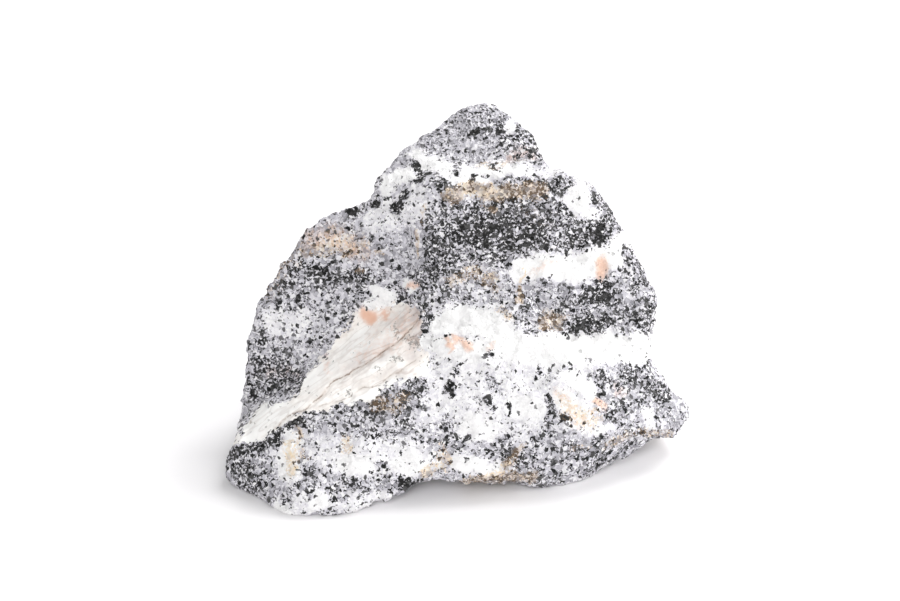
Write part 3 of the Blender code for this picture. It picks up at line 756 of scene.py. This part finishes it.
def without_small_patches(side, neighbours):
    """Sides of the faces, after the large patches have grown over the small ones."""
    patch = patch_numbers(side, neighbours)
    small = np.bincount(patch, minlength=len(side))[patch] < SMALL_PATCH
    side = side.copy()
    for _ in range(GROWING_ROUNDS):
        for face, other in (neighbours.T, neighbours.T[::-1]):
            taken = small[face] & ~small[other]
            side[face[taken]] = side[other[taken]]
            small[face[taken]] = False
        if not small.any():
            break
    return side


def packed_corners(sizes, width):
    """Lays rectangles in rows, tallest first: the corner of each, and the height they fill."""
    corners = np.zeros_like(sizes)
    across, row, row_height = 0.0, 0.0, 0.0
    for number in np.argsort(-sizes[:, 1], kind="stable"):
        if across + sizes[number, 0] > width and across > 0.0:
            across, row, row_height = 0.0, row + row_height, 0.0
        corners[number] = across, row
        across += sizes[number, 0]
        row_height = max(row_height, sizes[number, 1])
    return corners, row + row_height


def packed_patches(flat, corner_patch):
    """Face corners laid out with their patches side by side, in a square from 0 to 1."""
    low = np.full((corner_patch.max() + 1, 2), 1e9)
    high = np.full((corner_patch.max() + 1, 2), -1e9)
    np.minimum.at(low, corner_patch, flat)
    np.maximum.at(high, corner_patch, flat)
    sizes = high - low + 2.0 * PATCH_MARGIN
    widest = sizes[:, 0].max()
    best = None
    for width in np.linspace(widest, 3.0 * widest, MAP_WIDTHS):
        corners, height = packed_corners(sizes, width)
        if best is None or max(width, height) < best[0]:
            best = (max(width, height), corners)
    extent, corners = best
    return (flat - low[corner_patch] + corners[corner_patch] + PATCH_MARGIN) / extent


def add_bake_map(obj):
    """A UV map of a few large flat patches, one for each side of the stone, for baking its colours."""
    mesh = obj.data
    place = face_frame(vertex_places(mesh))
    normals = smoothed_normals(mesh)
    corner_vertex = whole_numbers(mesh.loops, "vertex_index")
    face_start = whole_numbers(mesh.polygons, "loop_start")
    face_size = whole_numbers(mesh.polygons, "loop_total")
    corner_face = np.repeat(np.arange(len(face_start)), face_size)
    neighbours = touching_faces(mesh, corner_face)

    face_normal = np.add.reduceat(normals[corner_vertex], face_start)
    facing = np.concatenate((face_normal, -face_normal), axis=1)
    side = without_small_patches(np.argmax(facing, axis=1), neighbours)
    _, patch = np.unique(patch_numbers(side, neighbours), return_inverse=True)

    # Each side is seen along its own axis, so its map is laid out along the other two.
    axis = side[corner_face] % 3
    corner_place = place[corner_vertex]
    flat = np.stack((
        np.where(axis == 0, corner_place[:, 2], corner_place[:, 0]),
        np.where(axis == 1, corner_place[:, 2], corner_place[:, 1]),
    ), axis=1)
    uv = packed_patches(flat, patch[corner_face])
    layer = mesh.uv_layers.new(name="OFBake")
    layer.data.foreach_set("uv", uv.astype(np.float32).ravel())


class Shader:
    """Short calls for building a material's nodes."""

    def __init__(self, material):
        material.use_nodes = True
        self.tree = material.node_tree
        self.surface = self.tree.nodes["Principled BSDF"]

    def node(self, kind, inputs=None, **settings):
        made = self.tree.nodes.new("ShaderNode" + kind)
        for name, value in settings.items():
            setattr(made, name, value)
        for name, value in (inputs or {}).items():
            self.feed(made.inputs[name], value)
        return made

    def feed(self, socket, value):
        if isinstance(value, bpy.types.NodeSocket):
            self.tree.links.new(value, socket)
        else:
            socket.default_value = value

    def math(self, operation, first, second=0.0):
        return self.node("Math", {0: first, 1: second}, operation=operation).outputs[0]

    def add(self, first, second):
        return self.math("ADD", first, second)

    def subtract(self, first, second):
        return self.math("SUBTRACT", first, second)

    def multiply(self, first, second):
        return self.math("MULTIPLY", first, second)

    def share(self, name):
        return self.node("Attribute", attribute_name=name).outputs["Fac"]

    def step(self, value, low, high):
        """0 below low, 1 above high, smooth between them."""
        made = self.node("MapRange", {"Value": value, "From Min": low, "From Max": high})
        made.interpolation_type = "SMOOTHSTEP"
        return made.outputs["Result"]

    def mix(self, factor, first, second, blend="MIX"):
        made = self.node("Mix", data_type="RGBA", blend_type=blend)
        self.feed(made.inputs[0], factor)
        self.feed(made.inputs[6], first)
        self.feed(made.inputs[7], second)
        return made.outputs[2]

    def blend(self, factor, first, second):
        """A number between two others."""
        made = self.node("Mix", data_type="FLOAT")
        self.feed(made.inputs[0], factor)
        self.feed(made.inputs[2], first)
        self.feed(made.inputs[3], second)
        return made.outputs[0]

    def ramp(self, value, stops):
        made = self.node("ValToRGB", {"Fac": value})
        while len(made.color_ramp.elements) < len(stops):
            made.color_ramp.elements.new(1.0)
        for element, (place, colour) in zip(made.color_ramp.elements, stops):
            element.position = place
            element.color = (*colour, 1.0)
        return made.outputs["Color"]

    def vector(self, operation, first, second):
        return self.node("VectorMath", {0: first, 1: second}, operation=operation).outputs[0]

    def scaled(self, vector, factor):
        return self.node("VectorMath", {0: vector, "Scale": factor}, operation="SCALE").outputs[0]

    def noise(self, vector, size, detail, roughness=0.5):
        settings = {"Vector": vector, "Scale": 1.0 / size, "Detail": detail, "Roughness": roughness}
        return self.node("TexNoise", settings)

    def grains(self, vector, size):
        """A pattern of grains: three random numbers for each grain, and the distance from its middle."""
        made = self.node("TexVoronoi", {"Vector": vector, "Scale": 1.0 / size})
        parts = self.node("SeparateColor", {"Color": made.outputs["Color"]})
        return [parts.outputs[n] for n in range(3)] + [made.outputs["Distance"]]


class StoneShader(Shader):
    """The stone's material: grains of many tones, and the slick slope among them."""

    def __init__(self, material):
        super().__init__(material)
        place = self.node("TexCoord").outputs["Object"]
        self.place = self.scaled(place, 1.0 / MM)
        # Grain outlines are ragged, not round: the pattern is read at places moved about by noise.
        swirl = self.noise(self.place, 0.9, 3.0).outputs["Color"]
        shift = self.scaled(self.vector("SUBTRACT", swirl, (0.5, 0.5, 0.5)), GRAIN_RAGGEDNESS)
        ragged = self.vector("ADD", self.place, shift)
        self.coarse = self.grains(ragged, COARSE_GRAIN)
        self.fine = self.grains(ragged, FINE_GRAIN)
        self.clumps = self.noise(self.place, CLUMP_SIZE, 3.0, 0.6).outputs["Fac"]
        # Some coarse grains are solid, others are a patch of fine ones.
        self.is_fine = self.step(self.subtract(self.share("fine"), self.coarse[2]), -0.01, 0.01)
        self.dark_share = self.share("dark")
        self.is_dark = self.dark_grains()
        self.pinked = self.pink_strength()
        self.slick = self.share("slick")

    def dark_grains(self):
        """1 on grains of biotite and hornblende, which keep to clumps."""
        draw = self.blend(self.is_fine, self.coarse[0], self.fine[0])
        room = self.multiply(self.dark_share, self.subtract(1.0, self.dark_share))
        clumping = self.multiply(self.subtract(self.clumps, 0.5), CLUMPING)
        chance = self.add(self.dark_share, self.multiply(clumping, room))
        return self.step(self.subtract(chance, draw), -0.03, 0.03)

    def pink_strength(self):
        """Pink feldspar, in spots and faint patches."""
        share = self.share("pink")
        draw = self.add(self.multiply(self.coarse[2], 0.45), self.multiply(self.clumps, 0.35))
        return self.multiply(self.step(self.subtract(share, draw), -0.3, 0.45), share)

    def light_tone(self):
        """Light grains run from white feldspar to grey quartz."""
        draw = self.blend(self.is_fine, self.coarse[1], self.fine[1])
        whiter = self.subtract(1.0, self.multiply(self.share("white"), 0.9))
        greyer = self.add(0.12, self.multiply(self.share("grey"), 0.25))
        tone = self.multiply(self.add(greyer, self.multiply(draw, 0.75)), whiter)
        return self.ramp(tone, LIGHT_TONES)

    def dark_tone(self):
        """Dark grains are blackest where they lie close together."""
        draw = self.multiply(self.blend(self.is_fine, self.coarse[1], self.fine[2]), 0.72)
        scattered = self.multiply(self.subtract(1.0, self.dark_share), 0.32)
        return self.ramp(self.add(draw, scattered), DARK_TONES)

    def grain_colour(self):
        light = self.light_tone()
        dark = self.dark_tone()
        # Iron stain creeps over the light grains and browns the dark ones.
        draw = self.add(self.multiply(self.fine[2], 0.5), self.multiply(self.clumps, 0.6))
        stained = self.step(self.subtract(self.share("rust"), draw), -0.15, 0.15)
        stain = self.ramp(self.coarse[2], STAIN_TONES)
        light = self.mix(self.multiply(stained, 0.85), light, stain, "MULTIPLY")
        dark = self.mix(self.multiply(stained, 0.7), dark, BROWNED_DARK)
        light = self.mix(self.pinked, light, PINK_FELDSPAR)
        return self.mix(self.is_dark, light, dark)

    def slope_colour(self):
        """Cream feldspar, streaked and faintly mottled, with a painted highlight where it faces up-left."""
        streak = self.share("streak")
        grime = self.share("grime")
        mottle = self.noise(self.place, 6.0, 5.0, 0.6).outputs["Fac"]
        blotch = self.noise(self.place, 1.1, 4.0, 0.65).outputs["Fac"]
        tone = self.add(self.multiply(mottle, 0.42), self.multiply(streak, 0.38))
        tone = self.add(tone, self.multiply(blotch, 0.2))
        cream = self.ramp(tone, CREAM_TONES)
        # Painted highlight: the slope turns whiter where it faces up-left.
        cream = self.mix(self.share("slope_highlight"), cream, SLOPE_HIGHLIGHT_COLOUR)

        smear = self.step(self.add(self.multiply(streak, 0.5), mottle), 0.4, 0.95)
        cream = self.mix(self.multiply(grime, smear), cream, GRIME_BROWN)
        from_line = self.math("ABSOLUTE", self.subtract(streak, 0.5))
        hairline = self.subtract(1.0, self.step(from_line, 0.01, 0.07))
        strength = self.add(0.22, self.multiply(grime, 0.5))
        cream = self.mix(self.multiply(hairline, strength), cream, HAIRLINE_BROWN)

        crowd = self.multiply(self.share("slope_specks"), 0.8)
        speck = self.step(self.add(self.fine[0], crowd), 0.99, 0.995)
        cream = self.mix(self.multiply(speck, 0.6), cream, SPECK_BLACK)
        cream = self.mix(self.pinked, cream, SLOPE_PINK)
        return self.with_cracks(cream)

    def with_cracks(self, cream):
        """Each crack is a thin dark thread of changing strength, with a paler brown edge."""
        crack = self.share("crack")
        cream = self.mix(self.multiply(crack, 0.35), cream, CRACK_EDGE_BROWN)
        waver = self.subtract(self.noise(self.place, 0.7, 3.0).outputs["Fac"], 0.5)
        gap = self.add(self.share("crack_gap"), self.multiply(waver, 0.7))
        thread = self.subtract(1.0, self.step(self.math("ABSOLUTE", gap), 0.06, 0.24))
        thread = self.multiply(thread, self.step(crack, 0.1, 0.9))
        thread = self.multiply(thread, self.step(self.clumps, 0.25, 0.6))
        return self.mix(self.multiply(thread, 0.85), cream, CRACK_BROWN)

    def slope_grains(self):
        """1 on the slope, whose edge follows the grains."""
        draw = self.multiply(self.subtract(self.coarse[0], 0.5), 0.8)
        return self.step(self.add(self.slick, draw), 0.44, 0.56)

    def crystal_faces(self):
        """Every grain tips its own way, less so on the slope."""
        tilt = self.add(self.multiply(self.coarse[3], 0.5), self.multiply(self.fine[3], 0.35))
        grit = self.noise(self.place, 0.35, 2.0).outputs["Fac"]
        rough = self.add(tilt, self.multiply(grit, 0.35))
        rough = self.multiply(rough, self.subtract(1.0, self.multiply(self.slick, 0.75)))
        bump = self.node("Bump", {"Strength": 0.9, "Distance": 0.5 * MM, "Height": rough})
        return bump.outputs["Normal"]


def stone_material():
    material = bpy.data.materials.new("speckled_granodiorite")
    shader = StoneShader(material)
    inputs = shader.surface.inputs
    colour = shader.mix(shader.slope_grains(), shader.grain_colour(), shader.slope_colour())
    shader.feed(inputs["Base Color"], colour)
    # Dark mica and hornblende are glossier than feldspar.
    gloss = shader.subtract(0.65, shader.multiply(shader.is_dark, 0.2))
    shader.feed(inputs["Roughness"], gloss)
    inputs["Specular IOR Level"].default_value = 0.22
    shader.feed(inputs["Normal"], shader.crystal_faces())
    return material


def floor_material():
    material = bpy.data.materials.new("white_floor")
    surface = Shader(material).surface
    surface.inputs["Base Color"].default_value = FLOOR_COLOUR
    surface.inputs["Roughness"].default_value = FLOOR_ROUGHNESS
    return material


def add_floor():
    half = FLOOR_HALF
    corners = [(-half, -half, 0), (half, -half, 0), (half, half, 0), (-half, half, 0)]
    mesh = bpy.data.meshes.new("floor")
    mesh.from_pydata(corners, [], [(0, 1, 2, 3)])
    mesh.materials.append(floor_material())
    floor = bpy.data.objects.new("floor", mesh)
    bpy.context.scene.collection.objects.link(floor)


def add_world():
    """Soft white light from all round. The camera sees it as plain white."""
    world = bpy.data.worlds.new("white_studio")
    world.use_nodes = True
    tree = world.node_tree
    background = tree.nodes["Background"]
    background.inputs["Color"].default_value = (1.0, 1.0, 1.0, 1.0)
    strength = tree.nodes.new("ShaderNodeMapRange")
    strength.inputs["To Min"].default_value = AMBIENT
    strength.inputs["To Max"].default_value = 1.0
    seen = tree.nodes.new("ShaderNodeLightPath").outputs["Is Camera Ray"]
    tree.links.new(seen, strength.inputs["Value"])
    tree.links.new(strength.outputs["Result"], background.inputs["Strength"])
    bpy.context.scene.world = world


def add_lights():
    for name, place, size, power in LAMPS:
        lamp = bpy.data.lights.new(name, "AREA")
        lamp.shape = "DISK"
        lamp.size = size
        lamp.energy = power
        obj = bpy.data.objects.new(name, lamp)
        direction = Vector(LAMP_TARGET) - Vector(place)
        obj.location = place
        obj.rotation_euler = direction.to_track_quat("-Z", "Y").to_euler()
        bpy.context.scene.collection.objects.link(obj)


def add_camera():
    """Looks squarely at the broad face."""
    camera = bpy.data.cameras.new("camera")
    camera.lens = CAMERA_LENS
    camera.clip_start = 0.01
    obj = bpy.data.objects.new("camera", camera)
    obj.location = Vector(FACE_MIDDLE * MM) - CAMERA_DISTANCE * Vector(BACK)
    obj.rotation_euler = (math.pi / 2 - LEAN, 0, 0)
    bpy.context.scene.collection.objects.link(obj)
    bpy.context.scene.camera = obj


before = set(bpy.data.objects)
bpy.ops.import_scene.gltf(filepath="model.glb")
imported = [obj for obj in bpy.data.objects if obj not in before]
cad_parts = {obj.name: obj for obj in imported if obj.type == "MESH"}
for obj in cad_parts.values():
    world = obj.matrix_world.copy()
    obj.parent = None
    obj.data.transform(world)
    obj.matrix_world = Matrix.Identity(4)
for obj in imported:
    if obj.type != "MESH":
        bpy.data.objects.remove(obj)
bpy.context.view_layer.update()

stone = fine_copy(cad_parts["rock"])
stone.name = "stone"
roughen(stone)
paint_minerals(stone)
add_bake_map(stone)
stone.data.materials.clear()
stone.data.materials.append(stone_material())
stone.data.shade_smooth()
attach(stone, "root")
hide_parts("rock")

add_floor()
add_world()
add_lights()
add_camera()
bpy.context.scene.view_settings.view_transform = "Standard"
